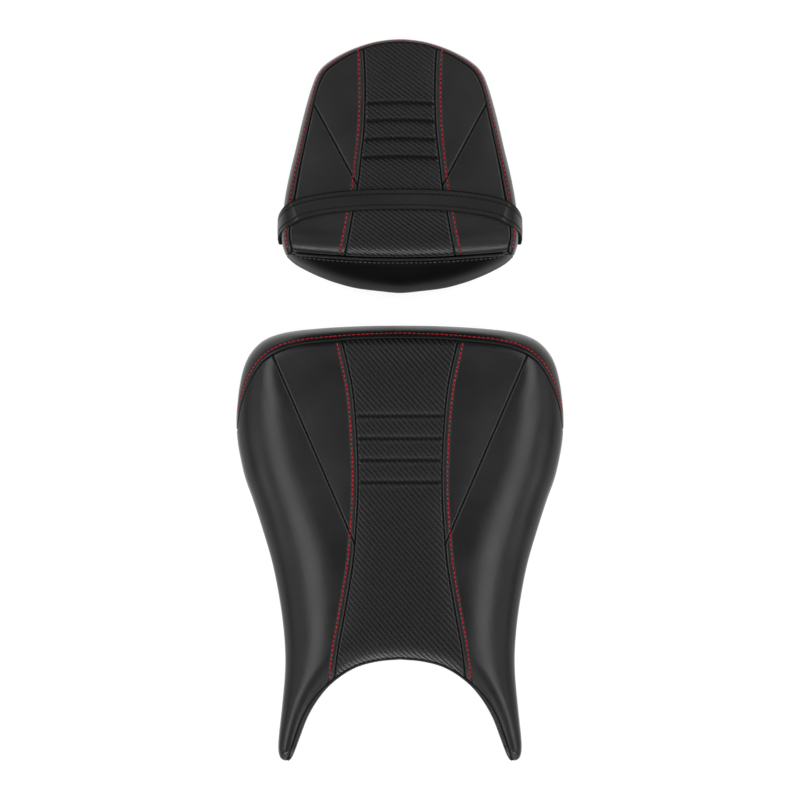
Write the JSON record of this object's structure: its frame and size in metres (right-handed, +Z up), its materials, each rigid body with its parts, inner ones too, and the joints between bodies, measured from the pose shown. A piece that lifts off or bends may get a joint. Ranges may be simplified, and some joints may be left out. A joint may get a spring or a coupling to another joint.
{
  "type": "motorcycle seat",
  "caption": "Two-piece sport motorcycle seat: a rider seat with front horns around a tank cut-out, and a tapered pillion seat with a grab strap.",
  "frame": {"origin": "on the ground, under the middle of the whole two-seat layout's box", "axes": "+Y runs to the rear of the motorcycle, +X to the rider's left, +Z up from the ground the bumpers stand on"},
  "size_m": [0.327, 0.722, 0.086],
  "materials": {
    "moulded_pan": "black moulded polypropylene",
    "seat_foam": "moulded open-cell foam",
    "carbon_vinyl": "black vinyl with an embossed twill weave",
    "plain_vinyl": "black vinyl with a fine grain",
    "strap_vinyl": "black vinyl over webbing",
    "red_thread": "bonded polyester thread",
    "bumper_rubber": "moulded black rubber",
    "black_steel": "black powder coat",
    "steel": "zinc plated"
  },
  "bodies": {
    "rider_seat": {"rider_base_pan": "moulded_pan", "rider_foam": "seat_foam", "rider_center_panel": "carbon_vinyl", "rider_wedge_left": "plain_vinyl", "rider_wedge_right": "plain_vinyl", "rider_side_left": "plain_vinyl", "rider_side_right": "plain_vinyl", "rider_rear_band": "plain_vinyl", "rider_front_facing": "plain_vinyl", "rider_hem": "plain_vinyl", "rider_center_stitching": "red_thread", "rider_rear_stitching": "red_thread", "rider_staples": "steel", "rider_bumpers": "bumper_rubber", "rider_bracket_left": "steel", "rider_bracket_right": "steel", "rider_weld_nuts": "steel", "rider_bracket_screws": "steel", "rider_rear_tongue": "black_steel"},
    "pillion_seat": {"pillion_base_pan": "moulded_pan", "pillion_foam": "seat_foam", "pillion_center_panel": "carbon_vinyl", "pillion_wedge_left": "plain_vinyl", "pillion_wedge_right": "plain_vinyl", "pillion_outer_left": "plain_vinyl", "pillion_outer_right": "plain_vinyl", "pillion_side_band": "plain_vinyl", "pillion_front_skirt": "plain_vinyl", "pillion_piping": "plain_vinyl", "pillion_hem": "plain_vinyl", "pillion_center_stitching": "red_thread", "pillion_band_stitching": "red_thread", "pillion_staples": "steel", "pillion_bumpers": "bumper_rubber", "pillion_front_hooks": "moulded_pan", "pillion_striker_plate": "steel", "pillion_striker": "steel", "pillion_striker_screws": "steel", "strap_end_tabs": "strap_vinyl", "strap_washers": "steel", "strap_bolts": "steel"},
    "strap": {"grab_strap": "strap_vinyl"}
  },
  "joints": [
    {"name": "pillion_lift_off", "type": "slide", "parent": "rider_seat", "child": "pillion_seat", "axis": [0, 0, 1], "range_m": [0, 0.15]},
    {"name": "strap_lift", "type": "slide", "parent": "pillion_seat", "child": "strap", "axis": [0, 0, 1], "range_m": [0, 0.02], "deforming": ["grab_strap"]}
  ]
}
